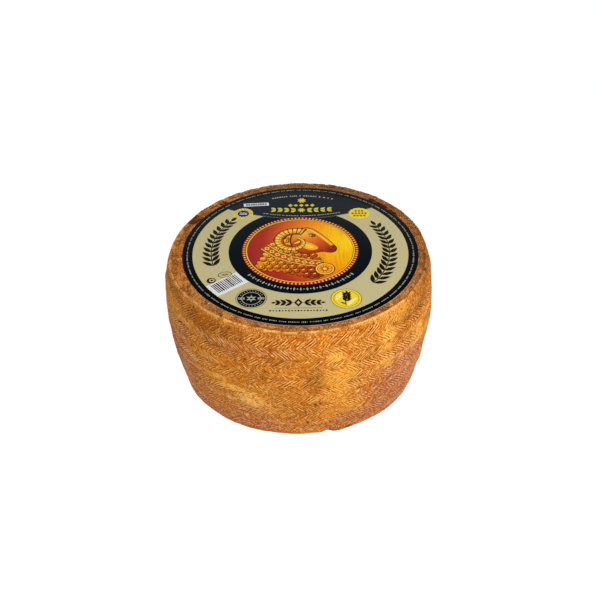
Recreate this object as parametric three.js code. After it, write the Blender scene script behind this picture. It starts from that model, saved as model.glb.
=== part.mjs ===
// A whole wheel of aged sheep cheese: a drum with a slight belly, pressed in a plaited grass belt
// that left bands of herringbone round its side, with a round paper label stuck on its top face.
// Units are millimetres. +Z is up, the wheel stands on z = 0 and its axis is the Z axis.
// -Y is the front, the side seen in the usual view.
import * as THREE from "three";

// Driving dimensions
const BELLY_RADIUS = 95; // the widest part of the drum
const BELLY_HEIGHT = 64;
const TOP_HEIGHT = 101.8; // the flat face that carries the label
const FOOT_RADIUS = 78; // the flat face that the wheel stands on
const FOOT_ROUND = 8.5; // height of the quarter ellipse from the foot to the side
const LABEL_RADIUS = 82;
const LABEL_THICKNESS = 0.5;
const LABEL_GAP = 0.3;
const LABEL_SHIFT = { x: 0.8, y: -2.2 }; // the label is stuck on a little off centre

// The side narrows from the belly to the foot and to the shoulder
const LOWER_DROP = 7.1; // how much smaller the radius is just above the foot
const LOWER_POWER = 1.8;
const UPPER_DROP = 5.0; // how much smaller the radius is at the rim
const UPPER_POWER = 2.5;

// Marks of the plaited belt: flat bands with a shallow groove between each two
const BAND_COUNT = 11;
const BANDS_FROM = 8.5;
const BANDS_TO = 97.5;
const BAND_GROOVE = 0.4; // depth of the groove between two bands
const BAND_CROWN = 0.2; // how far the middle of a band stands proud

// Rim: outside the label the top face dips a little, then a low lip runs round the edge
const LABEL_SEAT_RADIUS = 85; // the flat face ends here
const DIP = { radius: 87.2, height: 100.7 };
const LIP = { radius: 89.4, height: 101.4 };
const LIP_OUTSIDE = { radius: 90.4, height: 100.2 };

// The drum isn't quite round: [lobes, size as a share of the radius, direction of a lobe in degrees]
const LOBES = [
  [2, 0.0085, 26],
  [3, 0.0063, 85],
  [4, 0.0037, 45],
  [5, 0.0015, 36],
];

// Soft hollows and swellings of the side: [lobes, bands that one wave takes, size, phase in degrees]
const SWELLS = [
  [5, 7, 0.25, 20],
  [9, 4.5, 0.2, 130],
  [14, 3, 0.12, 250],
];

// Facets
const COLUMNS = 120;
const FOOT_STEPS = 4;
const LABEL_SIDES = 144;

const radians = THREE.MathUtils.degToRad;
const bandHeight = (BANDS_TO - BANDS_FROM) / BAND_COUNT;

// Radius of the plain drum at a height on its side.
function drumRadius(z) {
  if (z < BELLY_HEIGHT) {
    const down = (BELLY_HEIGHT - z) / (BELLY_HEIGHT - FOOT_ROUND);
    return BELLY_RADIUS - LOWER_DROP * down ** LOWER_POWER;
  }
  const up = (z - BELLY_HEIGHT) / (LIP.height - BELLY_HEIGHT);
  return BELLY_RADIUS - UPPER_DROP * up ** UPPER_POWER;
}

// How much the drum's radius differs from a circle's, as a factor.
function outOfRound(angle) {
  return LOBES.reduce(
    (sum, [lobes, size, turn]) => sum + size * Math.cos(lobes * (angle - radians(turn))),
    1,
  );
}

// Height of the soft hollows and swellings at a point of the side.
function swell(angle, z) {
  return SWELLS.reduce((sum, [lobes, bands, size, phase]) => {
    const upward = (2 * Math.PI * z) / (bands * bandHeight);
    return sum + size * Math.cos(lobes * angle + radians(phase)) * Math.cos(upward + radians(phase));
  }, 0);
}

// One ring of the drum: its radius and height, and how much of the swelling it takes.
const ring = (radius, z, soft) => ({ radius, z, soft });

// The foot's flat face and the rounding up to the side.
function footRings() {
  return Array.from({ length: FOOT_STEPS + 1 }, (_, i) => {
    const t = (i / FOOT_STEPS) * (Math.PI / 2);
    const side = drumRadius(FOOT_ROUND);
    const out = (side - FOOT_RADIUS) * Math.sin(t);
    return ring(FOOT_RADIUS + out, FOOT_ROUND * (1 - Math.cos(t)), i / FOOT_STEPS);
  });
}

// The side: each band has a ring at its crown and one in the groove above it.
function sideRings() {
  const rings = [];
  for (let band = 0; band < BAND_COUNT; band++) {
    const middle = BANDS_FROM + (band + 0.5) * bandHeight;
    const groove = BANDS_FROM + (band + 1) * bandHeight;
    rings.push(ring(drumRadius(middle) + BAND_CROWN, middle, 1));
    rings.push(ring(drumRadius(groove) - BAND_GROOVE, groove, 1));
  }
  return rings;
}

// The rim: over the lip, into the dip and up to the flat face under the label.
function rimRings() {
  return [
    ring(LIP_OUTSIDE.radius, LIP_OUTSIDE.height, 0.5),
    ring(LIP.radius, LIP.height, 0.3),
    ring(DIP.radius, DIP.height, 0),
    ring(LABEL_SEAT_RADIUS, TOP_HEIGHT, 0),
  ];
}

// A closed surface through a stack of rings, with a point in the middle of its lower and upper face.
function surfaceThrough(rings) {
  const points = [];
  for (const { radius, z, soft } of rings) {
    for (let i = 0; i < COLUMNS; i++) {
      const angle = (2 * Math.PI * i) / COLUMNS;
      const r = radius * outOfRound(angle) + soft * swell(angle, z);
      points.push(r * Math.cos(angle), r * Math.sin(angle), z);
    }
  }
  const lowest = points.length / 3;
  points.push(0, 0, rings[0].z);
  points.push(0, 0, rings[rings.length - 1].z);

  const faces = [];
  for (let i = 0; i < COLUMNS; i++) {
    const next = (i + 1) % COLUMNS;
    faces.push(lowest, next, i);
    for (let k = 0; k + 1 < rings.length; k++) {
      const a = k * COLUMNS + i;
      const b = k * COLUMNS + next;
      faces.push(a, b, b + COLUMNS, a, b + COLUMNS, a + COLUMNS);
    }
    const top = (rings.length - 1) * COLUMNS;
    faces.push(lowest + 1, top + i, top + next);
  }

  const geometry = new THREE.BufferGeometry();
  geometry.setAttribute("position", new THREE.Float32BufferAttribute(points, 3));
  geometry.setIndex(faces);
  geometry.computeVertexNormals();
  return geometry;
}

// The cheese itself, one solid with its rind.
function makeWheel() {
  const rings = [...footRings(), ...sideRings(), ...rimRings()];
  const rind = new THREE.MeshStandardMaterial({ color: 0xb87835, roughness: 0.7, metalness: 0 });
  const wheel = new THREE.Mesh(surfaceThrough(rings), rind);
  wheel.name = "cheese_wheel";
  return wheel;
}

// The round paper label.
function makeLabel() {
  const profile = [
    new THREE.Vector2(0, 0),
    new THREE.Vector2(LABEL_RADIUS, 0),
    new THREE.Vector2(LABEL_RADIUS, LABEL_THICKNESS),
    new THREE.Vector2(0, LABEL_THICKNESS),
  ];
  const paper = new THREE.MeshStandardMaterial({ color: 0x14181a, roughness: 0.35, metalness: 0 });
  const label = new THREE.Mesh(new THREE.LatheGeometry(profile, LABEL_SIDES), paper);
  label.rotation.x = Math.PI / 2;
  label.position.set(LABEL_SHIFT.x, LABEL_SHIFT.y, TOP_HEIGHT + LABEL_GAP);
  label.name = "label";
  return label;
}

const cheese = new THREE.Group();
cheese.add(makeWheel(), makeLabel());

export default cheese;
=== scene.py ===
# A whole wheel of aged sheep cheese with a herringbone-marked rind and a round printed label.
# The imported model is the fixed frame. The rind's fine relief and the printed label are made here.
import random
from dataclasses import dataclass
from math import atan2, cos, degrees, hypot, pi, radians, sin, sqrt, tan

import bpy
import numpy as np
from mathutils import Matrix, Vector
from mathutils.geometry import delaunay_2d_cdt


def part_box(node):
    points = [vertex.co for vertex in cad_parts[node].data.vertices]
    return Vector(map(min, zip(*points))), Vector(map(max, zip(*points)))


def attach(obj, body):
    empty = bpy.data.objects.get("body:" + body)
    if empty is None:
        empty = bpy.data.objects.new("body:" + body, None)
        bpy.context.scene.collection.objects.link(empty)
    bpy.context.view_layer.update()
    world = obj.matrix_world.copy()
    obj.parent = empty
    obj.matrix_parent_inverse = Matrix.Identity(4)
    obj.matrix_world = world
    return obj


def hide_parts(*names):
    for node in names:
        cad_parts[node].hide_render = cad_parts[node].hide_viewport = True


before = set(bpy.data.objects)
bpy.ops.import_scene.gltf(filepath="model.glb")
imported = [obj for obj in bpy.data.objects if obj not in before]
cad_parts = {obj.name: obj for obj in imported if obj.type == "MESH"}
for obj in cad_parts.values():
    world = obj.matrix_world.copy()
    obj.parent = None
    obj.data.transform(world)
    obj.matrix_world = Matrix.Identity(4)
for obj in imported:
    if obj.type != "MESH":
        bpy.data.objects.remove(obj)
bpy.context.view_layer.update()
label_low, label_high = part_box("label")
wheel_low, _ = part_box("cheese_wheel")

# Lengths below are millimetres and angles degrees, unless said otherwise
MM = 0.001
FOOT_LEVEL = wheel_low.z / MM
LABEL_RADIUS = (label_high.x - label_low.x) / 2 / MM
LABEL_CENTRE = ((label_high.x + label_low.x) / 2 / MM, (label_high.y + label_low.y) / 2 / MM)
LABEL_TOP = label_high.z / MM
LABEL_THICKNESS = 0.4
WHEEL_TOP = LABEL_TOP - LABEL_THICKNESS - 0.02

# The drum, with the same sizes as the solid
BELLY_RADIUS = 95
BELLY_HEIGHT = 64
FOOT_RADIUS = 78
FOOT_ROUND = 8.5
LOWER_DROP = 7.1
LOWER_POWER = 1.8
UPPER_DROP = 5
UPPER_POWER = 2.5
LOBES = ((2, 0.0085, 26), (3, 0.0063, 85), (4, 0.0037, 45), (5, 0.0015, 36))
SWELLS = ((5, 7, 0.25, 20), (9, 4.5, 0.2, 130), (14, 3, 0.12, 250))
BAND_COUNT = 11
BANDS_FROM = 8.5
BANDS_TO = 97.5
BAND_HEIGHT = (BANDS_TO - BANDS_FROM) / BAND_COUNT
BAND_GROOVE = 0.3
BAND_CROWN = 0.1

# The rim, inwards: radius, height, and how much it wanders, has the rim's own colour and is pale
# with the lip's painted highlight
RIM = (
    (90.55, 99.2, 0.3, 0, 0), (90.2, 100.4, 0.7, 0.1, 0.25), (89.7, 101.1, 1, 0.3, 1),
    (89.1, 101.4, 1, 0.4, 0.9), (88.5, 101.2, 1, 0.9, 0.15), (87.8, 100.8, 0.8, 1, 0),
    (87, 100.7, 0.5, 1, 0), (86, 101, 0.2, 1, 0), (85, 101.5, 0, 1, 0), (84, WHEEL_TOP - 0.1, 0, 1, 0),
)
LIP_HEIGHT = 101.4

# How the lip wanders out and in: direction and how far out
LIP_LINE = ((-180, 0), (-165, 0.3), (-140, -1.4), (-120, -0.7), (-90, 0.8), (-72, 0.4), (-50, -0.9),
            (-35, -1.1), (-20, -1.3), (0, -0.6), (15, 0))

# Cracks and hollows of the rim, sunk and given painted shade, with the painted shadow along the label's
# edge
# from 28 to 50 degrees: first and last direction, least and greatest radius, strength
CRACKS = (
    (183, 216, 88.4, 88.6, 0.5), (204, 222, 87.2, 87.6, 0.3), (28, 50, 80.5, 83, 1.4),
    (130, 136, 81, 85.5, 0.8), (149, 160, 86, 90, 0.62), (150, 158, 80.5, 86, 0.7),
    (60, 84, 85.5, 88, 0.5), (246, 258, 86, 87.5, 0.5), (300, 318, 84.5, 87, 0.4),
)
# Painted contact shadow: thin dark lines of the foot's edge, given the same way
FOOT_SHADOW_LINES = ((277, 306, 83.5, 86.9, 0.8),)

# The rim's colours: direction, and how dark its trough (partly painted shade, darkest on the back), pale
# its lip (painted highlight, on the front) and brown its outer edge (painted shade, on the back) are there
RIM_SHADES = (
    (-175, -0.1, 0.35, 0.6), (-155, -0.4, 0.6, 0.8), (-138, 0.3, 0.6, 0.6), (-120, 0.2, 0.85, 0.1),
    (-95, 0.35, 0.9, 0), (-76, 0.65, 0.85, 0), (-62, 0.5, 1, 0), (-45, 0.15, 1, 0.2),
    (-30, 0.35, 0.5, 0.5), (-20, 0.5, 0.4, 0.8), (-5, 0.75, 0.15, 0.9), (12, 0.75, 0, 1),
    (22, 1, 0, 1), (50, 0.8, 0, 1), (80, 1.1, 0, 1), (98, 0.6, 0, 1),
    (120, 0.3, 0, 1), (140, 0.1, 0, 1), (150, 0.4, 0, 1), (165, 0.1, 0.1, 0.8),
)

# Single pits seen on the side: direction, height, radius and depth
PITS = (
    (-66, 57, 1.2, 0.9), (-66, 98, 1.1, 0.8), (-59, 98, 1.1, 0.7), (-112.5, 77.5, 1.1, 0.7),
    (-104, 70.5, 1.1, 0.6), (-148, 79, 1.4, 0.9), (-109.5, 45, 1, 0.6), (-84, 39, 1.1, 0.6),
    (-87, 20, 1.4, 0.7), (-51, 31, 1.2, 0.7), (-51, 28, 1.1, 0.7), (-54, 34, 1, 0.6),
    (-139, 68, 1.2, 0.6),
)
RANDOM_PITS = 170

# Dents of the foot's edge: direction, height, half width, half height and how far out
DENTS = (
    (-88, 3, 42, 6, -1), (-72, 6, 5.5, 4, 1.2), (-77.3, 5, 2.8, 6, -1.8), (-92, 3, 14, 6, 0.6),
)

# Strokes of the plaited belt, which lean the other way in every next band and are widest apart in one
# direction
STROKES = 248
WIDE_STROKES = -42
WIDE_SHARE = 0.1
STROKE_LEAN = 40
STROKE_DEPTH = 0.5
STROKE_SHAPE = (0, 0.75, 1, 0.65)
# Rows of points in a band: place as a share of its height, and how deep the strokes are there
BAND_STEPS = ((0, 0.3), (0.17, 0.9), (0.34, 1), (0.5, 1), (0.66, 1), (0.83, 0.8))
COLUMNS = STROKES * len(STROKE_SHAPE)

# Fine marks are this many times longer along the strokes than across them
FIBRE_STRETCH = 2.4

# The angle that a stroke travels up its band, in radians
BAND_REACH = BAND_HEIGHT / tan(radians(STROKE_LEAN)) / BELLY_RADIUS

# Rings of the hidden top face and of the underside: radius and columns, as many as outside it or half
TOP_RINGS = ((82.5, COLUMNS // 2), (79, STROKES), (60, STROKES // 2), (30, STROKES // 4))
UNDER_RINGS = (
    (76.5, COLUMNS // 2),
    *((74 - 4 * k, STROKES) for k in range(9)),
    *((38 - 5 * k, STROKES // 2) for k in range(4)),
    *((18 - 6 * k, STROKES // 4) for k in range(3)),
)

# Patches where the rind is paler, browner or pinker, and where the strokes show most: direction, height,
# half width, half height and strength. The pale patches high on the right, next to the rim, are partly
# painted highlight
PALE = (
    (-112, 42, 8, 5, 1.2), (-112.5, 41.5, 7, 4, 1.9), (-109, 38, 4, 2.5, 1.9), (-120, 48, 8, 2, 1.5),
    (-125, 54, 6, 1.5, 1), (-119, 37, 6, 1.5, 1), (-141, 60, 8, 3, 1), (-108, 52, 16, 10, 0.2),
    (-108, 33, 18, 6, 0.4), (-76, 81, 5, 3, 0.85), (-73, 62, 12, 14, 0.55), (-77, 48, 9, 4, 0.45),
    (-73, 33, 10, 10, 0.3), (-66, 84, 14, 6, 0.3), (-46, 97, 9, 3, 0.5), (-54, 99.5, 16, 1.6, 0.4),
    (-52.5, 86, 5, 5, 1), (-45.5, 93, 4, 3, 0.8), (-54, 77, 5, 4, 0.6), (-53.5, 66, 7, 3, 0.8),
    (-34, 68, 6, 8, 1), (-26, 62, 7, 5, 0.6), (-154, 80, 12, 16, 0.4), (-152, 42, 12, 22, 0.3),
    (-31, 28, 7, 12, 0.45), (-132, 17, 26, 8, 0.15),
)
BROWN = (
    (-85, 63, 6, 10, 0.75), (-38, 91, 16, 4, 0.85), (-130, 94, 22, 5, 1), (-158, 38, 9, 26, 0.35),
    (-154, 96, 20, 2.5, 0.8), (-18, 97, 20, 4, 0.6), (-40, 17, 26, 15, 0.22), (-50, 1.5, 28, 2.5, 1.1),
    (-70, 16, 22, 6, 0.4), (-95, 52, 8, 5, 0.3), (-122, 82, 14, 4, 0.4), (-98, 80, 10, 3, 0.5),
    (-107, 66, 9, 5, 0.35), (-90, 34, 14, 8, 0.35), (-61, 76, 7, 4, 0.4), (-45, 80, 5, 6, 0.5),
)
PINK = (
    (-40, 34, 28, 22, 1.1), (-58, 18, 22, 12, 0.55), (-128, 24, 40, 16, 0.5), (-148, 46, 16, 24, 0.85),
    (-75, 4, 3, 3, 1), (-113, 84, 26, 4, 0.45), (-44, 56, 12, 12, 0.6),
)
CLEAR = (
    (-88, 94, 48, 5, 0.2), (-106, 86, 50, 4.5, 0.45), (-44, 96, 14, 7, 0.9), (-56, 82, 18, 12, 0.9),
    (-97, 38, 16, 5, 0.4), (-104, 30, 18, 4, 0.45), (-150, 90, 22, 10, 0.5), (-128, 80, 16, 8, 0.6),
    (-138, 60, 18, 24, 0.6), (-46, 30, 30, 20, 0.2), (-44, 72, 20, 20, 0.65), (-95, 16, 16, 6, 0.4),
)

# The photograph's view
CAMERA_TARGET = (0.18, 0.23, 55.29)
CAMERA_DISTANCE = 621.4
CAMERA_ELEVATION = 38.78
CAMERA_ROLL = -0.65
CAMERA_LENS = 50.724


def srgb(*screen):
    """A colour given as 0 to 255 numbers of the screen, as linear numbers with alpha."""
    shares = [value / 255 for value in screen]
    return [s / 12.92 if s <= 0.04045 else ((s + 0.055) / 1.055) ** 2.4 for s in shares] + [1]


# Shape of the wheel


def drum_radius(z):
    """Radius of the plain drum at a height on its side."""
    down = np.clip((BELLY_HEIGHT - z) / (BELLY_HEIGHT - FOOT_ROUND), 0, None)
    up = np.clip((z - BELLY_HEIGHT) / (LIP_HEIGHT - BELLY_HEIGHT), 0, None)
    return BELLY_RADIUS - LOWER_DROP * down**LOWER_POWER - UPPER_DROP * up**UPPER_POWER


def out_of_round(angle):
    """How much the drum's radius differs from a circle's, as a factor."""
    return 1 + sum(size * np.cos(lobes * (angle - radians(turn))) for lobes, size, turn in LOBES)


def swell(angle, z):
    """Height of the soft hollows and swellings of the side."""
    total = 0
    for lobes, bands, size, phase in SWELLS:
        upward = 2 * pi * z / (bands * BAND_HEIGHT) + radians(phase)
        total = total + size * np.cos(lobes * angle + radians(phase)) * np.cos(upward)
    return total


def waves(points, wavelength, seed, count=40):
    """Smooth random numbers about 0 at points in space, mostly between -1 and 1."""
    draw = np.random.default_rng(seed)
    way = draw.normal(size=(count, 3))
    way /= np.linalg.norm(way, axis=1)[:, None]
    pace = 2 * pi / wavelength * draw.uniform(0.6, 1.4, count)
    start = draw.uniform(0, 2 * pi, count)
    total = np.zeros(len(points))
    for direction, speed, phase in zip(way, pace, start):
        total += np.cos(points @ direction * speed + phase)
    return total / sqrt(count)


@dataclass
class Row:
    """One ring of the wheel's surface and what its points are like."""
    radius: float
    z: float
    columns: int = COLUMNS
    soft: float = 0.0
    weave: float = 0.0
    lean: float = BAND_REACH
    shift: int = 0
    band: int = 0
    wander: float = 0.0
    rim: float = 0.0
    lip: float = 0.0


def under_rows():
    """The flat underside, from its middle to its edge."""
    for radius, columns in reversed(UNDER_RINGS):
        yield Row(radius, 0, columns)


def foot_rows(steps=6):
    """The rounding from the flat foot to the side."""
    reach = float(drum_radius(FOOT_ROUND)) - FOOT_RADIUS
    for i in range(steps):
        share = i / steps
        t = share * pi / 2
        yield Row(FOOT_RADIUS + reach * sin(t), FOOT_ROUND * (1 - cos(t)), soft=share,
                  weave=0.8 * min(share, 4 * (1 - share)), lean=BAND_REACH * (1 - share), shift=2,
                  band=BAND_COUNT)


def band_rows():
    """The side with its bands of strokes, upwards."""
    for band in range(BAND_COUNT):
        rising = (BAND_COUNT - 1 - band) % 2 == 0
        for t, depth in BAND_STEPS:
            z = BANDS_FROM + (band + t) * BAND_HEIGHT
            bow = sin(pi * t)
            radius = float(drum_radius(z)) + BAND_CROWN * bow - BAND_GROOVE * (1 - bow) ** 4
            lean = BAND_REACH * (t**1.15 if rising else 1 - t**1.15)
            yield Row(radius, z, soft=1, weave=depth, lean=lean, shift=2 * (band % 2), band=band)
    radius = float(drum_radius(BANDS_TO)) - BAND_GROOVE
    yield Row(radius, BANDS_TO, soft=1, weave=0.6, band=BAND_COUNT - 1)


def rim_rows():
    """Over the lip and through the dip to the label."""
    for i, (radius, z, wander, brown, pale) in enumerate(RIM):
        soft = 0.5 * (1 - i / (len(RIM) - 1))
        yield Row(radius, z, soft=soft, wander=wander, rim=brown, lip=pale)


def top_rows():
    """The flat face that the label hides, inwards."""
    for radius, columns in TOP_RINGS:
        yield Row(radius, WHEEL_TOP, columns, rim=1)


def row_normals(rows):
    """The outward direction of each row in the plane of radius and height."""
    path = np.array([[row.radius, row.z] for row in rows])
    step = np.gradient(path, axis=0)
    step /= np.linalg.norm(step, axis=1)[:, None]
    return np.stack([step[:, 1], -step[:, 0]], axis=1)


def column_angles(row):
    """The direction of each column where it starts, before the strokes lean it."""
    even = 2 * pi * (np.arange(row.columns) + 0.5 * (row.columns != COLUMNS)) / row.columns
    return even + WIDE_SHARE * np.sin(even - radians(WIDE_STROKES))


def row_points(row):
    """Places of a row's points before the fine relief: angle, and x, y, z."""
    angle = column_angles(row) + row.lean
    ring = np.stack([np.cos(angle), np.sin(angle), np.zeros_like(angle)], axis=1)
    if row.soft == 1:
        place = ring * BELLY_RADIUS + [0, 0, row.z]
        angle = angle + (0.45 * waves(place, 16, 5) + 0.2 * waves(place, 5, 6)) / BELLY_RADIUS
    wander = 0.7 * waves(ring * BELLY_RADIUS, 90, 11) * row.soft * min(1, (LIP_HEIGHT - row.z) / 20)
    radius = row.radius * out_of_round(angle) + row.soft * swell(angle, row.z)
    turns, outward = zip(*LIP_LINE)
    radius = radius + row.wander * np.interp(np.degrees(angle), turns, outward, period=360)
    z = row.z + wander * min(1, row.z / 20)
    return angle, np.stack([radius * np.cos(angle), radius * np.sin(angle), z], axis=1)


def stroke_strength(row, points):
    """How deep each stroke is pressed, worn in places and uneven."""
    draw = np.random.default_rng(100 + row.band)
    each = np.repeat(draw.uniform(0.4, 1.5, STROKES), len(STROKE_SHAPE))
    behind = 0.35 * np.clip(points[:, 1] / 30 + 0.5, 0, 1)
    clear = np.maximum(patch_strength(points, CLEAR), behind)
    low = 0.15 * np.clip((75 - points[:, 2]) / 30, 0, 1)
    worn = 0.58 + low + 0.8 * clear + 0.34 * waves(points, 16, 21) + 0.45 * waves(points, 4.5, 22)
    return row.weave * each * np.clip(worn, 0.12, 1.6)


def fibre_places(rows):
    """Places in a space where fine marks are drawn, pressed together along the strokes."""
    places = []
    along = 0
    before = rows[0]
    for row in rows:
        step = hypot(row.radius - before.radius, row.z - before.z)
        along += step / FIBRE_STRETCH if row.soft == 1 else step * (row.z > 0)
        before = row
        reach = BELLY_RADIUS * min(1, row.radius / FOOT_RADIUS)
        base = column_angles(row)
        ring = [reach * np.cos(base), reach * np.sin(base), np.full_like(base, along)]
        places.append(np.stack(ring, axis=1))
    return np.concatenate(places)


def rim_colours(row, angle, points):
    """How brown, how pale (painted highlight) and how dark (partly painted shade) rim points are, and how
    far inside.
    """
    rough = 0.5 * waves(points, 9, 51) + 0.5 * waves(points, 3, 52)
    turns, *shades = zip(*RIM_SHADES)
    # By direction: the trough's darkness, partly painted shade; the lip's painted highlight; the outer
    # edge's brown, painted shade on the back
    rim_shade, pale, outer = (np.interp(np.degrees(angle), turns, shade, period=360) for shade in shades)
    edge = np.clip(row.z - 98.5, 0, 1) * np.clip((row.radius - 88) * 1.3, 0, 1)
    brown = np.clip(row.rim * np.clip(0.95 + 0.3 * rough, 0, 1) + edge * outer, 0, 1)
    # The lip's painted highlight, strongest on the front
    pale = row.lip * pale * np.clip(0.75 + 1.1 * rough, 0, 1.15)
    # Greyer near the label's edge, and painted shade on the back
    inside = np.clip(np.maximum((86.5 - row.radius) / 2, points[:, 1] / 30 - 1.5), 0, 1)
    rim_shade = np.clip(rim_shade + 0.3 * inside + 0.35 * rough, 0, 1) * (row.z > BANDS_TO + 1)
    return brown, pale, rim_shade, inside


def crack_depth(row, angle, points):
    """Rim cracks and hollows with painted shade, and the foot's painted contact shadow: 0 where there is
    none.
    """
    depth = np.zeros(row.columns)
    turn = np.degrees(angle) % 360
    marks, rough = (CRACKS, 0.7) if row.z > BANDS_TO else (FOOT_SHADOW_LINES, 0.35)
    for start, end, inner, outer, strength in marks:
        apart = 2 * (turn - (start + end) / 2) / (end - start)
        across = 2 * (row.radius - (inner + outer) / 2) / (outer - inner + 1)
        near = 1.5 - 1.3 * apart**2 - 1.1 * across**2 + rough * waves(points, 5, 53)
        depth = np.maximum(depth, strength * np.clip(near, 0, 1))
    return depth


def spread(points, direction, z, wide, high):
    """How far each point is from a place on the side, in half widths and heights, squared."""
    angle = np.arctan2(points[:, 1], points[:, 0])
    turn = (angle - radians(direction) + pi) % (2 * pi) - pi
    return (turn * BELLY_RADIUS / wide) ** 2 + ((points[:, 2] - z) / high) ** 2


def ragged(points):
    """The unevenness of a patch's edge."""
    return 0.5 * waves(points, 7, 31) + 0.35 * waves(points, 2.6, 32)


def patch_strength(points, patches):
    """How strongly each point belongs to the listed patches, with ragged edges."""
    rough = ragged(points)
    total = np.zeros(len(points))
    for direction, z, wide, high, strength in patches:
        apart = spread(points, direction, z, wide, high)
        total = np.maximum(total, strength * np.clip(1.35 - 0.55 * apart + 0.7 * rough, 0, 1))
    return total


def all_patches(points, patches, wavelength, seed, most):
    """The listed patches, and soft random ones on the back."""
    behind = np.clip(points[:, 1] / 30, 0, 1)
    soft = np.clip(waves(points, wavelength, seed) - 0.5 + 0.5 * ragged(points), 0, 1)
    return np.maximum(patch_strength(points, patches), most * behind * soft)


def join_rings(first, count, second, next_count):
    """Faces between two rings, the second with as many points as the first, half or twice."""
    if count == next_count:
        k = np.arange(count)
        m = (k + 1) % count
        return np.stack([first + k, first + m, second + m, second + k], axis=1).tolist()
    if count < next_count:
        return [face[::-1] for face in join_rings(second, next_count, first, count)]
    faces = []
    for k in range(next_count):
        a, b, c = first + 2 * k, first + 2 * k + 1, first + (2 * k + 2) % count
        p, q = second + k, second + (k + 1) % next_count
        faces += [(a, b, p), (b, q, p), (b, c, q)]
    return faces


def row_relief(row, points, crack):
    """How far each point of a row stands out, and its place between groove and ridge."""
    relief = np.full(row.columns, 0.5)
    if row.z == WHEEL_TOP:
        return np.zeros(row.columns), relief
    if row.z == 0:
        return -0.12 * np.abs(waves(points, 6, 43)) - 0.1 * np.abs(waves(points, 2.5, 44)), relief
    height = 0.13 * waves(points, 11, 41) * min(1, row.soft + row.rim)
    height += 0.07 * waves(points, 2.6, 42)
    uneven = 0.16 * waves(points, 8, 45) + 0.12 * waves(points, 2.6, 46) - 0.1
    height += (row.lip + 0.4 * row.rim) * uneven
    if row.weave > 0:
        stroke = np.array(STROKE_SHAPE)[(np.arange(row.columns) + row.shift) % len(STROKE_SHAPE)]
        relief = 0.5 + (stroke - 0.5) * stroke_strength(row, points)
        height += STROKE_DEPTH * (relief - 0.9)
    height -= 0.5 * crack * (row.z > BANDS_TO)
    return height, relief


def sink_pits(points, side, shade_mark):
    """Presses in the single pits and random small ones all round, and marks them for painted shade."""
    draw = random.Random(7)
    pits = [(radians(turn), *rest) for turn, *rest in PITS]
    limits = ((0, 2 * pi), (5, 99), (0.45, 0.8), (0.2, 0.5))
    pits += [[draw.uniform(*ends) for ends in limits] for _ in range(RANDOM_PITS)]
    for angle, z, wide, depth in pits:
        radius = float(drum_radius(z)) * float(out_of_round(angle))
        place = np.array([radius * cos(angle), radius * sin(angle), z])
        apart = np.linalg.norm(points - place, axis=1) / wide
        near = apart < 2.5
        sunk = np.exp(-apart[near] ** 2)
        shade_mark[near] = np.maximum(shade_mark[near], sunk)
        points[near] -= side[near] * (depth * sunk)[:, None]


def wheel_surface():
    """Points, faces and per-point marks of the wheel."""
    rows = [*under_rows(), *foot_rows(), *band_rows(), *rim_rows(), *top_rows()]
    starts = np.cumsum([0, *(row.columns for row in rows)]).tolist()
    places, marks = [], []
    for row, (out, up) in zip(rows, row_normals(rows)):
        angle, points = row_points(row)
        crack = crack_depth(row, angle, points)
        height, relief = row_relief(row, points, crack)
        radial = np.stack([np.cos(angle), np.sin(angle), np.zeros_like(angle)], axis=1)
        points = points + height[:, None] * (radial * out + [0, 0, up])
        places.append(points)
        marks.append(np.stack([relief, *rim_colours(row, angle, points), crack], axis=1))
    points = np.concatenate(places)
    relief, *others, shade_mark = np.concatenate(marks).T

    side = points * [1, 1, 0]
    side /= np.linalg.norm(side, axis=1)[:, None]
    for direction, z, wide, high, outward in DENTS:
        points += side * (outward * np.exp(-spread(points, direction, z, wide, high)))[:, None]
    sink_pits(points, side, shade_mark)
    points[:, 2] = np.maximum(points[:, 2], FOOT_LEVEL)

    faces = []
    for k in range(len(rows) - 1):
        faces += join_rings(starts[k], rows[k].columns, starts[k + 1], rows[k + 1].columns)
    for start, row, turn in ((0, rows[0], -1), (starts[-2], rows[-1], 1)):
        middle = len(points)
        points = np.vstack([points, [0, 0, row.z]])
        ring = [start + k for k in range(row.columns)]
        faces += [(a, b, middle)[::turn] for a, b in zip(ring, ring[1:] + ring[:1])]

    marks = {"relief": np.append(relief, [0.5, 0.5])}
    for name, values in zip(("rim", "lip", "rim_shade", "inside", "shade_mark"), (*others, shade_mark)):
        marks[name] = np.append(values, [0, 0])
    marks["pale"] = all_patches(points, PALE, 26, 33, 0.7)
    marks["brown"] = all_patches(points, BROWN, 34, 34, 0.6)
    marks["pink"] = all_patches(points, PINK, 50, 35, 0.5)
    marks["fibre"] = np.vstack([fibre_places(rows), points[-2:]]) * MM
    return points, faces, marks


def new_object(name, data):
    """An object in the scene."""
    thing = bpy.data.objects.new(name, data)
    bpy.context.scene.collection.objects.link(thing)
    return thing


def new_mesh(name, points, faces):
    """A piece with these points in millimetres."""
    mesh = bpy.data.meshes.new(name)
    mesh.from_pydata((np.asarray(points) * MM).tolist(), [], faces)
    mesh.validate()
    return new_object(name, mesh)


def add_mark(mesh, name, values):
    """Stores a number or a vector per point for the material."""
    values = np.asarray(values, dtype=np.float32)
    kind, field = ("FLOAT_VECTOR", "vector") if values.ndim == 2 else ("FLOAT", "value")
    mesh.attributes.new(name, kind, "POINT").data.foreach_set(field, values.ravel())


def make_wheel():
    """The cheese, with what its material reads stored on its points."""
    points, faces, marks = wheel_surface()
    wheel = new_mesh("rind_wheel", points, faces)
    for name, values in marks.items():
        add_mark(wheel.data, name, values)
    wheel.data.shade_smooth()
    wheel.data.materials.append(rind_material())
    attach(wheel, "root")
    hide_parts("cheese_wheel")


# Materials


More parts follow.
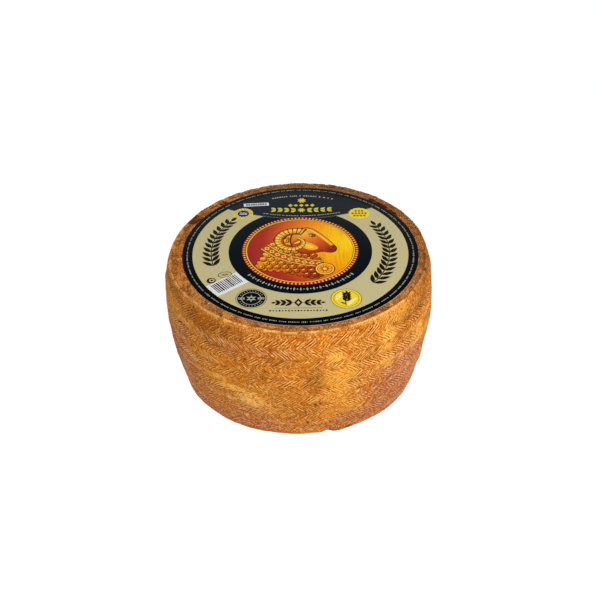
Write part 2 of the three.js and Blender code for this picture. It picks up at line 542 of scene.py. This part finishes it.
def set_inputs(node, inputs):
    """Sets inputs of a node to plain values or other nodes' outputs."""
    for name, value in inputs.items():
        if isinstance(value, bpy.types.NodeSocket):
            node.id_data.links.new(value, node.inputs[name])
        else:
            node.inputs[name].default_value = value


def add_node(tree, kind, inputs=None, **settings):
    """A new node with these inputs and settings."""
    node = tree.nodes.new("ShaderNode" + kind)
    for name, value in settings.items():
        setattr(node, name, value)
    set_inputs(node, inputs or {})
    return node


def mixed(tree, share, low, high, blend="MIX"):
    """A mix of two colours."""
    node = add_node(tree, "Mix", {0: share, 6: low, 7: high}, data_type="RGBA", blend_type=blend)
    return node.outputs[2]


def calculated(tree, operation, first, second=0, clamp=False):
    """An operation on two numbers."""
    node = add_node(tree, "Math", {0: first, 1: second}, operation=operation, use_clamp=clamp)
    return node.outputs[0]


def times(tree, first, second):
    return calculated(tree, "MULTIPLY", first, second)


def ranged(tree, value, low, high, most=1, least=0):
    """A number that goes softly from least to most as another goes from low to high."""
    inputs = {"Value": value, "From Min": low, "From Max": high, "To Min": least, "To Max": most}
    return add_node(tree, "MapRange", inputs, interpolation_type="SMOOTHSTEP").outputs[0]


def noise(tree, coordinates, size, detail=2, rough=0.5):
    """A noise whose lumps are about this many millimetres across."""
    inputs = {"Vector": coordinates, "Scale": 1 / (size * MM), "Detail": detail, "Roughness": rough}
    return add_node(tree, "TexNoise", inputs).outputs["Fac"]


def mark(tree, name):
    """A number stored on the mesh."""
    return add_node(tree, "Attribute", attribute_name=name).outputs["Fac"]


def layered(tree, colour, layers):
    """A colour under layers, each with its share, its colour and perhaps its way of mixing."""
    for share, over, *blend in layers:
        colour = mixed(tree, share, colour, over, *blend)
    return colour


def new_material(name):
    """A material with its nodes and its shader."""
    material = bpy.data.materials.new(name)
    material.use_nodes = True
    tree = material.node_tree
    return material, tree, tree.nodes["Principled BSDF"]


# The painted shade of the grooves, the dark specks and streaks, the brown and pink patches and the painted
# contact shadow at the foot multiply the rind's colour by these
SHADE_AND_SPECK_TINT = (0.26, 0.07, 0.05, 1)
BROWN_TINT = (0.62, 0.54, 0.5, 1)
PINK_TINT = (0.84, 0.82, 1.9, 1)
FOOT_SHADOW_TINT = (0.45, 0.42, 0.5, 1)


def rind_material():
    """Dry orange-brown rind; painted highlights on ridges, lip and specks, painted shade in hollows and at
    the foot.
    """
    material, tree, shader = new_material("rind")
    place = add_node(tree, "TexCoord").outputs["Object"]
    broad = noise(tree, place, 42, 2)
    cloud = noise(tree, place, 11, 4, 0.65)
    blot = noise(tree, place, 4.5, 3, 0.7)
    fibre = add_node(tree, "Attribute", attribute_name="fibre").outputs["Vector"]
    grain = noise(tree, fibre, 0.8, 1)
    dust = noise(tree, fibre, 0.7, 1)
    dots = noise(tree, place, 0.95, 1)
    relief = mark(tree, "relief")
    height = add_node(tree, "SeparateXYZ", {0: place}).outputs[2]

    tone = calculated(tree, "ADD", times(tree, broad, 0.5), times(tree, cloud, 0.5))
    base = mixed(tree, ranged(tree, tone, 0.4, 0.6), srgb(192, 102, 6), srgb(214, 124, 12))
    pale = mark(tree, "pale")
    rim = mark(tree, "rim")
    rim_colour = mixed(tree, ranged(tree, blot, 0.42, 0.6), srgb(142, 72, 18), srgb(222, 142, 66))
    # Painted shade on the rim, darkest on the back, and greyer near the label's edge and on the back
    rim_shade_colour = mixed(tree, mark(tree, "inside"), srgb(122, 62, 12), srgb(104, 72, 54))
    rim_colour = mixed(tree, times(tree, mark(tree, "rim_shade"), 0.8), rim_colour, rim_shade_colour)

    # Painted shade in the grooves of the weave and painted highlight on its ridges, broken up by fine
    # noise
    pressed = ranged(tree, relief, 0.5, 0.05)
    groove_shade = times(tree, pressed, ranged(tree, pale, 1, 1.6, 0.5, 1))
    broken = ranged(tree, dust, 0.38, 0.52, 1, 0.5)
    ridge_highlight = times(tree, ranged(tree, relief, 0.58, 0.92), broken)
    ridge_highlight_colour = mixed(tree, ranged(tree, pale, 0.3, 1.3), srgb(250, 180, 90), srgb(255, 200, 108))
    fine = ranged(tree, rim, 0, 1, 0.7, 1)
    streak = times(tree, ranged(tree, grain, 0.48, 0.36, 0.58), fine)
    streak = times(tree, streak, ranged(tree, pale, 1, 1.6, 1.6, 1))
    glint = times(tree, ranged(tree, dust, 0.53, 0.65, 0.62), fine)

    colour = layered(tree, base, (
        (ranged(tree, pale, 0, 1), srgb(251, 178, 58)),
        (ranged(tree, pale, 1, 1.6), srgb(255, 184, 74)),
        (ranged(tree, blot, 0.54, 0.66, 0.25), srgb(178, 88, 48)),
        (rim, rim_colour),
        # Painted highlight along the lip
        (mark(tree, "lip"), srgb(250, 192, 104)),
        # Painted shade in the grooves and painted highlight on the ridges
        (groove_shade, SHADE_AND_SPECK_TINT, "MULTIPLY"),
        (ridge_highlight, ridge_highlight_colour),
        (streak, SHADE_AND_SPECK_TINT, "MULTIPLY"),
        (glint, srgb(255, 194, 110)),
        (ranged(tree, dots, 0.35, 0.27, 0.8), SHADE_AND_SPECK_TINT, "MULTIPLY"),
        # Painted glints: small bright specks
        (ranged(tree, dots, 0.66, 0.73, 0.85), srgb(255, 206, 128)),
        (mark(tree, "brown"), BROWN_TINT, "MULTIPLY"),
        (mark(tree, "pink"), PINK_TINT, "MULTIPLY"),
        (ranged(tree, height, 30 * MM, 4 * MM, 0.5), PINK_TINT, "MULTIPLY"),
        # Painted contact shadow along the lowest 5 millimetres
        (ranged(tree, height, 5 * MM, 0), FOOT_SHADOW_TINT, "MULTIPLY"),
        # Painted shade in pits, cracks and hollows, and painted shadow along the label's edge and the
        # foot's edge
        (ranged(tree, mark(tree, "shade_mark"), 0.15, 0.8, 0.94), srgb(66, 22, 8)),
    ))

    bump = add_node(tree, "Bump", {"Height": grain, "Distance": 0.4 * MM, "Strength": 0.6})
    set_inputs(shader, {
        "Base Color": colour,
        "Roughness": ranged(tree, grain, 0.35, 0.65, 0.75, 0.5),
        "Normal": bump.outputs[0],
        "Specular IOR Level": 0.02,
    })
    return material


def ink_material(name, colour):
    """One flat printed colour under varnish."""
    material, _, shader = new_material("print_" + name)
    set_inputs(shader, {"Base Color": colour, "Roughness": VARNISH})
    return material


def brushed_material(name, start, reach, stops):
    """Brushed upright strokes whose colour changes with the distance from a place."""
    material, tree, shader = new_material("print_" + name)
    place = add_node(tree, "TexCoord").outputs["Object"]
    stretch = add_node(tree, "Mapping", {"Vector": place, "Scale": (1, 0.06, 1)})
    brush = noise(tree, stretch.outputs[0], 1.1, 3, 0.7)
    middle = ((LABEL_CENTRE[0] + start[0]) * MM, (LABEL_CENTRE[1] + start[1]) * MM, LABEL_TOP * MM)
    apart = add_node(tree, "VectorMath", {0: place, 1: middle}, operation="DISTANCE")
    across = calculated(tree, "DIVIDE", apart.outputs["Value"], reach * MM)
    lift = times(tree, calculated(tree, "SUBTRACT", brush, 0.5), 0.3)
    ramp = add_node(tree, "ValToRGB", {"Fac": calculated(tree, "ADD", across, lift, clamp=True)})
    elements = ramp.color_ramp.elements
    elements[0].color, elements[1].color = srgb(*stops[0]), srgb(*stops[-1])
    for k, colour in enumerate(stops[1:-1], 1):
        elements.new(k / (len(stops) - 1)).color = srgb(*colour)
    lines = ranged(tree, brush, 0.35, 0.55, 1.12, 0.84)
    colour = mixed(tree, 1, ramp.outputs[0], lines, "MULTIPLY")
    set_inputs(shader, {"Base Color": colour, "Roughness": VARNISH})
    return material


# Shapes of the print, each a list of points about its own middle


def ellipse(wide, high, sides=32):
    turns = [2 * pi * k / sides for k in range(sides)]
    return [(wide * cos(a), high * sin(a)) for a in turns]


def disc(radius, sides=48):
    return ellipse(radius, radius, sides)


def box(left, right, low, high):
    return [(left, low), (right, low), (right, high), (left, high)]


def rectangle(length, width):
    return box(-length / 2, length / 2, -width / 2, width / 2)


def lozenge(length, width):
    return [(length / 2, 0), (0, width / 2), (-length / 2, 0), (0, -width / 2)]


def leaf(length, width, steps=5):
    """A pointed leaf along x, with its stalk at the origin."""
    shares = [k / steps for k in range(1, steps)]
    upper = [(length * t, width / 2 * sin(pi * t**0.8)) for t in shares]
    lower = [(x, -y) for x, y in upper]
    return [(0, 0)] + lower + [(length, 0)] + upper[::-1]


def star(points, outer, inner):
    turns = [(k * pi / points, outer if k % 2 == 0 else inner) for k in range(2 * points)]
    return [(r * cos(a), r * sin(a)) for a, r in turns]


def scalloped(wide, high, bumps, bulge, steps=5):
    """An ellipse with a row of round bumps on its edge."""
    outline = []
    for k in range(bumps * steps):
        a = 2 * pi * k / (bumps * steps)
        grow = 1 + bulge * abs(sin(a * bumps / 2))
        outline.append((wide * grow * cos(a), high * grow * sin(a)))
    return outline


def arc(radius, directions):
    """Points at one distance from the middle, in these directions."""
    turns = [radians(direction) for direction in directions]
    return [(radius * cos(a), radius * sin(a)) for a in turns]


def dash(radius, width, start, length):
    """A stretch of a ring about the label's middle. Its length is an angle."""
    ends = (start, start + length)
    return arc(radius + width / 2, ends) + arc(radius - width / 2, ends[::-1])


def thick_line(path, width):
    """A line of even width along a path."""
    left, right = [], []
    for k, (x, y) in enumerate(path):
        ahead = path[min(k + 1, len(path) - 1)]
        behind = path[max(k - 1, 0)]
        dx, dy = ahead[0] - behind[0], ahead[1] - behind[1]
        size = hypot(dx, dy)
        nx, ny = -dy / size * width / 2, dx / size * width / 2
        left.append((x + nx, y + ny))
        right.append((x - nx, y - ny))
    return right + left[::-1]


def rounded(outline, scale, passes=2):
    """An outline with its corners cut round, scaled about its own middle."""
    points = np.array(outline)
    middle = points.mean(axis=0)
    points = middle + (points - middle) * scale
    for _ in range(passes):
        after = np.roll(points, -1, axis=0)
        points = np.stack([0.75 * points + 0.25 * after, 0.25 * points + 0.75 * after], axis=1)
        points = points.reshape(-1, 2)
    return points.tolist()


def placed(shape, x, y, turn=0):
    """A shape turned and moved to a place on the label."""
    c, s = cos(radians(turn)), sin(radians(turn))
    return [(x + px * c - py * s, y + px * s + py * c) for px, py in shape]


def on_ring(shape, radius, angle, turn=0):
    """A shape at an angle round the label's middle, turned with the ring."""
    return placed(shape, *arc(radius, [angle])[0], angle + turn)


# The printed label

VARNISH = 0.17
INKS = {
    "paper": (205, 186, 176), "border": (6, 6, 5), "black": (3, 14, 20), "slate": (22, 30, 38),
    "stone": (204, 192, 142), "white": (236, 236, 234), "pale": (176, 172, 152), "print": (172, 174, 168),
    "dim": (112, 120, 130), "gold": (226, 206, 66), "yellow": (248, 218, 50), "foil_sheen": (255, 240, 150),
    "ochre": (138, 106, 16), "navy": (26, 34, 62), "umber": (28, 22, 15), "red": (128, 30, 12),
    "bead": (250, 136, 58), "amber": (255, 178, 28), "shade": (198, 84, 20), "outline": (88, 22, 8),
    "light": (255, 212, 88),
}
# Inks that run from one colour to another: where they start, how far, and their colours
BRUSHED = {
    "field": ((34, 9), 70, ((255, 208, 20), (255, 198, 14), (255, 182, 8), (255, 158, 14), (240, 126, 26),
                            (212, 88, 30), (176, 50, 32), (162, 44, 40))),
    "body": ((-26, 6), 58, ((255, 186, 48), (255, 170, 34), (236, 124, 26), (196, 76, 24), (150, 46, 22))),
    "face": ((2, 20), 34, ((255, 190, 70), (240, 130, 30), (214, 84, 24), (170, 50, 22), (128, 32, 20))),
}
BORDER_INNER = 75
SMALL_PRINT = 78.6
BAND_INNER = 50
GARLAND = 62
MEDALLION = 40.6
FIELD = 36.8

# The dark banner, whose lower edge is a curve
BANNER_FOOT = 39.4
BANNER_BOW = 0.0047
BANNER_HALF = 53.3

# The stripe block: its direction, half its width, and where its stripes begin and end
BLOCK_TURN = 218.6
BLOCK_HALF = 7
STRIPES_FROM = 52.5
STRIPES_TO = 72
STRIPE_SIDES = (-5.8, 4.4)

# The outlines of the print with their inks, lowest first
SHAPES = []


def add(outline, ink, x=0, y=0, turn=0):
    """Lays an outline over those before it, turned and moved to its place."""
    outline = placed(outline, x, y, turn)
    area = sum(a[0] * b[1] - b[0] * a[1] for a, b in zip(outline, outline[1:] + outline[:1]))
    SHAPES.append((outline if area > 0 else outline[::-1], ink))


def discs(x, y, sides, *rings):
    """Discs that lie over each other, with the radius and ink of each."""
    for radius, ink in rings:
        add(disc(radius, sides), ink, x, y)


def dashes(draw, start, end, lengths, gaps):
    """Where dashes begin between two places and how long they are."""
    while start < end:
        length = draw.uniform(*lengths)
        yield start, length
        start += length + draw.choice(gaps)


def banner_edge(x):
    """The curved lower edge of the dark banner."""
    return BANNER_FOOT + BANNER_BOW * x * x


def draw_ground():
    add(disc(LABEL_RADIUS, 256), "border")
    add(disc(BORDER_INNER, 216), "stone")
    draw_stripe_block()
    add(disc(BAND_INNER, 160), "black")
    edge = [(x, banner_edge(x)) for x in np.linspace(-BANNER_HALF, BANNER_HALF, 41)]
    start = degrees(atan2(banner_edge(BANNER_HALF), BANNER_HALF))
    upper = arc(BORDER_INNER, np.linspace(start, 180 - start, 48))
    add(edge[:-1] + upper[:-1], "slate")
    add(thick_line([(x, y - 0.3) for x, y in edge], 0.5), "dim")


def draw_small_print():
    """Rows of fine dashes round the border."""
    draw = random.Random(3)
    angle = -174
    while angle < 184:
        for _ in range(draw.randint(3, 8)):
            length, height = draw.uniform(0.25, 0.55), draw.uniform(0.5, 1.1)
            add(dash(SMALL_PRINT, height, angle, length), "print")
            angle += length + 0.34
        angle += 0.8


def draw_stripe_block():
    """A white block with plain stripes across the stone-coloured band."""
    ends = [sqrt(radius**2 - BLOCK_HALF**2) for radius in (BAND_INNER - 1, BORDER_INNER - 0.05)]
    add(box(*ends, -BLOCK_HALF, BLOCK_HALF), "white", turn=BLOCK_TURN)
    draw = random.Random(8)
    along = STRIPES_FROM
    while along < STRIPES_TO:
        width = draw.choice((0.6, 0.8, 1.1))
        add(box(along, along + width, *STRIPE_SIDES), "umber", turn=BLOCK_TURN)
        along += width + draw.choice((0.6, 0.7, 0.9))


def draw_garland(start, end, step=4.9):
    """A branch with pairs of leaves along the stone-coloured band."""
    add(thick_line(arc(GARLAND, np.linspace(start, end, 25)), 0.7), "umber")
    way = 1 if end > start else -1
    count = int(abs(end - start) / step)
    for k in range(count + 1):
        angle = start + way * step * k
        size = 9.4 - 2.4 * k / count
        for side in (1, -1):
            add(on_ring(leaf(size, 3.2), GARLAND + side * 0.3, angle, way * (90 - side * 40)), "umber")
            if k % 2 == 1:
                add(on_ring(disc(0.8, 10), GARLAND + side * 3.2, angle - way * 1.4), "umber")
    add(on_ring(leaf(7, 3), GARLAND, end, 90 * way), "umber")


def draw_banner():
    """Small gold and pale ornaments in the dark banner."""
    draw = random.Random(5)
    for angle, length in dashes(draw, 69, 108, (0.6, 1.3), (0.5, 0.5, 1.6)):
        add(dash(70.1, 1.4, angle, length), "pale")
    for k in range(8):
        add(leaf(3.6, 1.7), "gold", 1.5, 63.6, 45 * k + 22.5)
    add(disc(1, 12), "light", 1.5, 63.6)
    for k in range(-2, 3):
        add(lozenge(3.4, 3.2 if k % 2 else 4.2), "gold", 1.2 + 4.1 * k, 56.9)
    add(star(8, 3.3, 1.7), "gold", 1.2, 50.4, 22.5)
    for side in (1, -1):
        for k in range(4):
            x, y = 1.2 + side * (5.6 + 4.9 * k), 50.4 + 0.25 * k
            for up in (1, -1):
                add(leaf(4.6, 2.4), "gold", x - side * 1.4, y + up * 0.4, up * (90 - side * 58))
            add(disc(0.55, 8), "gold", x + side * 1.6, y)
    for x, length in dashes(draw, -27, 30, (0.8, 1.9), (0.5, 0.5, 1.3)):
        slope = degrees(2 * BANNER_BOW * x)
        add(rectangle(length, 0.8), "pale", x + length / 2, banner_edge(x) + 3.4, slope)
    add(rectangle(18.8, 4.2), "white", -32.6, 58.6, 4)
    for k in range(9):
        add(rectangle(1.4 if k % 3 else 1.7, 2.6), "dim", -39.6 + 1.75 * k, 58.2 + 0.12 * k, 4)


def draw_seals():
    """Round seals: plain discs, rings and petals."""
    x, y = -41.8, 46.3
    add(disc(7.2, 40), "yellow", x, y)
    for px, py in arc(6.2, range(0, 360, 18)):
        add(disc(0.4, 6), "umber", x + px, y + py)
    discs(x, y, 32, (5.2, "umber"), (4.9, "white"))
    add(scalloped(4.1, 4.1, 12, 0.1), "navy", x, y)
    for row in (-0.9, 0.9):
        wave = [(0.55 * t - 2.75, row + 0.35 * sin(t * 1.3)) for t in range(11)]
        add(thick_line(wave, 0.7), "white", x, y)

    x, y = 43.8, 45.2
    add(scalloped(7.4, 6.9, 14, 0.07), "yellow", x, y)
    for row, count in ((3.2, 3), (0, 5), (-3.2, 4)):
        for k in range(count):
            add(lozenge(2.3, 2.9), "ochre", x + 2.4 * (k - (count - 1) / 2), y + row, 8)

    x, y = -32.2, -54.3
    discs(x, y, 48, (10.2, "umber"), (9.85, "stone"), (9.2, "black"))
    discs(x, y, 40, (6.5, "pale"), (6, "black"))
    add(rectangle(17, 2), "pale", x, y)
    for k in range(-4, 5):
        add(lozenge(1.2, 1.3), "black", x + 1.9 * k, y)
    add(disc(4.3, 32), "black", x, y)
    add(star(6, 3.8, 1.7), "pale", x, y, 30)
    add(disc(0.9, 12), "black", x, y)
    for turn in range(28, 168, 14):
        for px, py in arc(7.8, (turn, -turn)):
            add(disc(0.4, 6), "pale", x + px, y + py)

    x, y = 29.4, -55.3
    discs(x, y, 48, (10.1, "umber"), (9.75, "yellow"))
    discs(x, y, 44, (8.3, "ochre"), (7.95, "yellow"))
    # Painted sheen: pale streaks across the gold-foil seal
    for across, length, width in ((-4.6, 9, 2), (4.4, 10, 1.6), (6.3, 6, 0.8)):
        add(placed(rectangle(length, width), 0, across), "foil_sheen", x, y, 50)
    stalk = [(0.6 * sin(t / 3), t) for t in range(-7, 5)]
    add(thick_line(stalk, 0.6), "umber", x, y)
    for k in range(4):
        for side in (1, -1):
            add(leaf(4.4, 2), "umber", x + 0.3, y - 2.6 + 2.1 * k, 90 - side * 42)
    add(leaf(3.6, 1.9), "umber", x + 0.4, y + 4.6, 90)
    add(leaf(4.6, 1.3), "umber", x - 0.4, y - 5.6, 150)


def draw_foot():
    """The dark ornaments under the medallion, two small emblems and a row of marks."""
    x, y = -1.7, -59
    add(lozenge(5.6, 8.6), "umber", x, y)
    add(lozenge(2.4, 3.8), "stone", x, y)
    for side, turn in ((1, 0), (-1, 180)):
        add(thick_line([(x + side * t, y) for t in (3, 9.5, 16.4)], 0.5), "umber")
        for k in range(3):
            at = x + side * (4 + 3.9 * k)
            for up in (1, -1):
                add(leaf(5.6 - 0.8 * k, 2.3), "umber", at, y + up * 0.2, turn + side * up * 36)
        add(leaf(3.2, 1.8), "umber", x + side * 14.6, y, turn)
    add(rectangle(31, 0.35), "umber", x, -64.5)
    for k in range(-9, 10):
        add(lozenge(1.5, 1.5 if k % 3 else 2.2), "umber", x + 2 * k, -67.2 + 0.002 * k * k)
    add(disc(3.1, 24), "umber", -59.6, -34.8)
    add(disc(1.9, 20), "stone", -59.2, -34.5)
    add(disc(0.9, 10), "umber", -59.2, -34.5)
    emblem = (ellipse(4.8, 3.2), ellipse(4.3, 2.7), lozenge(6, 2.2), lozenge(3, 1))
    for shape, ink in zip(emblem, ("umber", "stone") * 2):
        add(shape, ink, -50.9, -28.2, 12)
    for k in range(37):
        shape = disc(0.55, 8) if k % 2 else lozenge(1.5, 3.4)
        add(on_ring(shape, 45, -140 + 100 * k / 36, 90), "pale")


def draw_medallion(beads=95):
    """The coin edge and the ground of the medallion."""
    add(disc(MEDALLION, 128), "red")
    for k in range(beads):
        add(on_ring(ellipse(1.15, 0.82, 10), 39.3, 360 * k / beads), "bead")
        add(on_ring(ellipse(0.6, 0.42, 7), 39.5, 360 * k / beads), "light")
    discs(0, 0, 120, (37.9, "light"), (37.2, "red"), (FIELD, "field"))


NECK = ((-3, 24), (-11, 20), (-18, 11), (-23, -1), (-27, -12), (-30, -20), (-24, -23.5), (-14, -24.5),
        (-4, -27.5), (5, -32), (12, -32), (16, -26), (15, -18), (12, -11), (8, -5), (4, 6))
HEAD = ((-6, 20), (-3, 25), (3, 28), (9, 26), (14, 20.5), (19, 13.5), (23.5, 6.5), (25.8, 2), (25.6, -1.6),
        (23.5, -4), (20, -4.8), (17, -3.4), (13, -3.6), (8, -6), (2, -6), (-5, 0), (-8, 10))
HORN_CENTRE = (-4.5, 9.5)
COLLAR = ((-25, 3.5), (-17, -5), (-7, -11.5), (4, -15.5), (15, -17.5))
COLLAR_LOZENGES = 9


def curl(size, turn, steps=9):
    """A small open spiral of fleece."""
    path = []
    for k in range(steps + 1):
        path += arc(size * (0.35 + 0.65 * k / steps), [300 * k / steps + turn])
    return thick_line(path, size * 0.36)


def horn_point(t, side):
    """A place on the horn: t from its root to its tip, side from its inner to its outer edge."""
    radius = 14 - 10.2 * t**0.9 + side * (4 - 3.2 * t)
    x, y = arc(radius, [58 + 410 * t])[0]
    return HORN_CENTRE[0] + x, HORN_CENTRE[1] + y


def horn_part(start, end, low, high, steps=56):
    """A stretch of the horn between two places along it and two across it."""
    ts = [start + (end - start) * k / steps for k in range(steps + 1)]
    return [horn_point(t, high) for t in ts] + [horn_point(t, low) for t in reversed(ts)]


def draw_ram():
    """A ram's head and neck in profile, with a curled horn, a collar and a medal."""
    for size, ink in ((2.3, "outline"), (1.7, "body")):
        for x, y in rounded(NECK, 1)[::2]:
            if x < 3 or y < -9:
                add(disc(size, 12), ink, x, y)
    add(rounded(NECK, 0.99), "body")
    draw_fleece()
    for width, ink in ((8.2, "outline"), (7.2, "light"), (5.6, "outline"), (5, "shade")):
        add(thick_line(COLLAR, width), ink)
    for k in range(COLLAR_LOZENGES):
        t = (k + 0.5) / COLLAR_LOZENGES * (len(COLLAR) - 1)
        i, share = int(t), t - int(t)
        (ax, ay), (bx, by) = COLLAR[i], COLLAR[i + 1]
        turn = degrees(atan2(by - ay, bx - ax))
        x, y = ax + (bx - ax) * share, ay + (by - ay) * share
        add(lozenge(4.4, 4.2), "light", x, y, turn)
        add(lozenge(2.4, 2.2), "shade", x, y, turn)
    discs(16.5, -23, 32, (7, "outline"), (6.3, "light"), (5.3, "shade"))
    add(disc(4.7, 28), "amber", 16.4, -22.9)
    for k in range(10):
        add(leaf(4.3, 1.3), "shade", 16.4, -22.9, 36 * k)
    add(disc(1.4, 14), "light", 16.4, -22.9)
    draw_head()
    draw_horn()


def draw_fleece():
    """Curls in rows that follow the neck, lit from the left."""
    draw = random.Random(12)
    for row in range(12):
        y = 19 - 4.4 * row
        for column in range(10):
            x = -30.5 + 5.3 * column + 2.6 * (row % 2) - 0.4 * row
            if -16 - 0.42 * (12 - y) < x < 8.5 - 0.22 * y and y > -0.27 * x - 28.5:
                add(disc(2.6, 14), "outline", x, y)
                add(disc(2.1, 14), "body", x - 0.3, y + 0.4)
                add(curl(1.5, draw.uniform(0, 360)), "outline", x - 0.2, y + 0.2)
                add(ellipse(1, 0.5, 10), "light", x - 0.7, y + 1.3, 30)


def draw_head():
    """The ram's face, turned to the right."""
    add(rounded(HEAD, 1), "outline")
    add(rounded(HEAD, 0.95), "face")
    add(thick_line([(2, 26), (8, 23.6), (13, 18.2), (18, 11.4), (22.4, 4.8)], 2.6), "amber")
    add(thick_line([(3, 25.8), (8.6, 23), (14, 16.6), (19.6, 8.6)], 0.9), "light")
    cheek = [(0, 3), (5, -1.2), (10, -1.8), (14, 0.6), (11, 5.5), (5, 9.5), (0, 9)]
    add(rounded(cheek, 0.9), "amber")
    add(rounded(cheek, 0.45), "light")
    add(ellipse(2.3, 1.5, 16), "outline", 8.6, 16.6, -24)
    add(ellipse(1.5, 0.9, 14), "light", 8.4, 16.7, -24)
    add(disc(0.9, 10), "outline", 8.7, 16.6)
    add(thick_line([(5.6, 18.6), (8, 19.2), (11.4, 17.2)], 0.8), "outline")
    add(ellipse(1.5, 0.7, 12), "outline", 23.2, 2.4, 60)
    add(thick_line([(25, -1), (22.4, -1.3), (19, 0.6)], 0.7), "outline")
    add(thick_line([(17.4, 8.8), (15.6, 3.6), (16.8, -0.6)], 0.6), "shade")
    add(leaf(12, 5.4), "outline", 3.6, 12.2, -146)
    add(leaf(10.4, 3.8), "face", 2.8, 11.7, -146)
    add(leaf(8.6, 1.6), "light", 2.2, 11.2, -146)


def draw_horn(rings=26):
    """The curled horn with its rings."""
    add(horn_part(0, 1, -1.14, 1.14), "outline")
    add(horn_part(0.01, 0.99, -0.92, 0.92), "amber")
    add(horn_part(0.02, 0.9, 0.1, 0.72), "light")
    add(horn_part(0.02, 0.9, -0.92, -0.5), "shade")
    for k in range(1, rings):
        t = (k / rings) ** 1.15
        add(horn_part(t, t + 0.007, -0.92, 0.92, 2), "outline")


def draw_label():
    draw_ground()
    draw_small_print()
    draw_banner()
    draw_garland(197, 144)
    draw_garland(-39, 28)
    draw_seals()
    draw_foot()
    draw_medallion()
    draw_ram()


def label_height(x, y):
    """How far the label's face, a little uneven and flat at its edge, stands out."""
    apart = hypot(x, y) / LABEL_RADIUS
    fade = min(1, (1 - apart) * 8)
    return 0.05 * fade * (sin(x / 9 + 1.3) * cos(y / 11) + sin((x - y) / 17))


def make_label():
    """The paper label: the print's outlines in one flat mesh, each face in the topmost ink there."""
    draw_label()
    points, outlines = [], []
    for outline, _ in SHAPES:
        outlines.append(list(range(len(points), len(points) + len(outline))))
        points += [Vector(p) for p in outline]
    # Points between the outlines let the sheet be uneven
    for ring in range(1, 20):
        directions = [60 * (k + 0.5 * (ring % 2)) / ring for k in range(6 * ring)]
        points += [Vector(p) for p in arc(4.1 * ring, directions)]
    flat, _, triangles, _, _, owners = delaunay_2d_cdt(points, [], outlines, 1, 1e-4)

    bottom = LABEL_TOP - LABEL_THICKNESS
    cx, cy = LABEL_CENTRE
    top = [(cx + p.x, cy + p.y, LABEL_TOP + label_height(p.x, p.y)) for p in flat]
    faces = [list(t) for t in triangles]
    names = [*INKS, *BRUSHED]
    inks = [names.index(SHAPES[max(owner)][1]) for owner in owners]
    rim = [k for k, p in enumerate(flat) if p.length > LABEL_RADIUS - 0.01]
    rim.sort(key=lambda k: atan2(flat[k].y, flat[k].x))
    lower = {k: len(top) + i for i, k in enumerate(rim)}
    places = top + [(*top[k][:2], bottom) for k in rim] + [(cx, cy, bottom)]
    for a, b in zip(rim, rim[1:] + rim[:1]):
        faces += [[b, a, lower[a], lower[b]], [lower[b], lower[a], len(places) - 1]]
    inks += [names.index("paper")] * (2 * len(rim))

    label = new_mesh("printed_label", places, faces)
    for name, colour in INKS.items():
        label.data.materials.append(ink_material(name, srgb(*colour)))
    for name, run in BRUSHED.items():
        label.data.materials.append(brushed_material(name, *run))
    label.data.polygons.foreach_set("material_index", inks)
    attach(label, "root")
    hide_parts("label")


# Floor, light and camera

WHEEL_MIDDLE = Vector((0, 0, 50 * MM))


def make_floor(size=8000):
    """A plain white floor, so bright that it shows as white."""
    corners = [(x, y, FOOT_LEVEL) for x, y in rectangle(size, size)]
    floor = new_mesh("floor", corners, [(0, 1, 2, 3)])
    material, _, shader = new_material("floor_white")
    set_inputs(shader, {"Base Color": (0.12, 0.12, 0.12, 1), "Roughness": 0.9,
                        "Emission Color": (1, 1, 1, 1), "Emission Strength": 0.96})
    floor.data.materials.append(material)


def make_world():
    """A studio with lit walls and a dark ceiling, which keeps the black print black."""
    world = bpy.data.worlds.new("studio")
    bpy.context.scene.world = world
    world.use_nodes = True
    tree = world.node_tree
    direction = add_node(tree, "TexCoord").outputs["Generated"]
    up = add_node(tree, "SeparateXYZ", {0: direction}).outputs[2]
    wall = ranged(tree, up, 0.6, 0.5, 0.3)
    set_inputs(tree.nodes["Background"], {"Strength": wall, "Color": (0.92, 0.96, 1, 1)})


def make_light(name, place, size, power):
    """A square soft box that faces the wheel. Its place and size are in metres."""
    data = bpy.data.lights.new(name, "AREA")
    data.size = size
    data.energy = power
    light = new_object(name, data)
    light.location = place
    light.rotation_euler = (WHEEL_MIDDLE - light.location).to_track_quat("-Z", "Y").to_euler()


def make_camera():
    """The photograph's own view: distance, height, roll and lens."""
    data = bpy.data.cameras.new("camera")
    data.lens = CAMERA_LENS
    camera = new_object("camera", data)
    tip = Matrix.Rotation(radians(90 - CAMERA_ELEVATION), 4, "X")
    roll = Matrix.Rotation(radians(CAMERA_ROLL), 4, "Z")
    away = Matrix.Translation((0, 0, CAMERA_DISTANCE * MM))
    camera.matrix_world = Matrix.Translation(Vector(CAMERA_TARGET) * MM) @ tip @ roll @ away
    bpy.context.scene.camera = camera


make_camera()
make_light("key_light", (0.57, -0.82, 0.88), 0.6, 10.5)
make_light("top_light", (0, -0.25, 1.22), 0.8, 6.5)
make_world()
make_floor()
make_wheel()
make_label()
bpy.context.scene.view_settings.view_transform = "Standard"
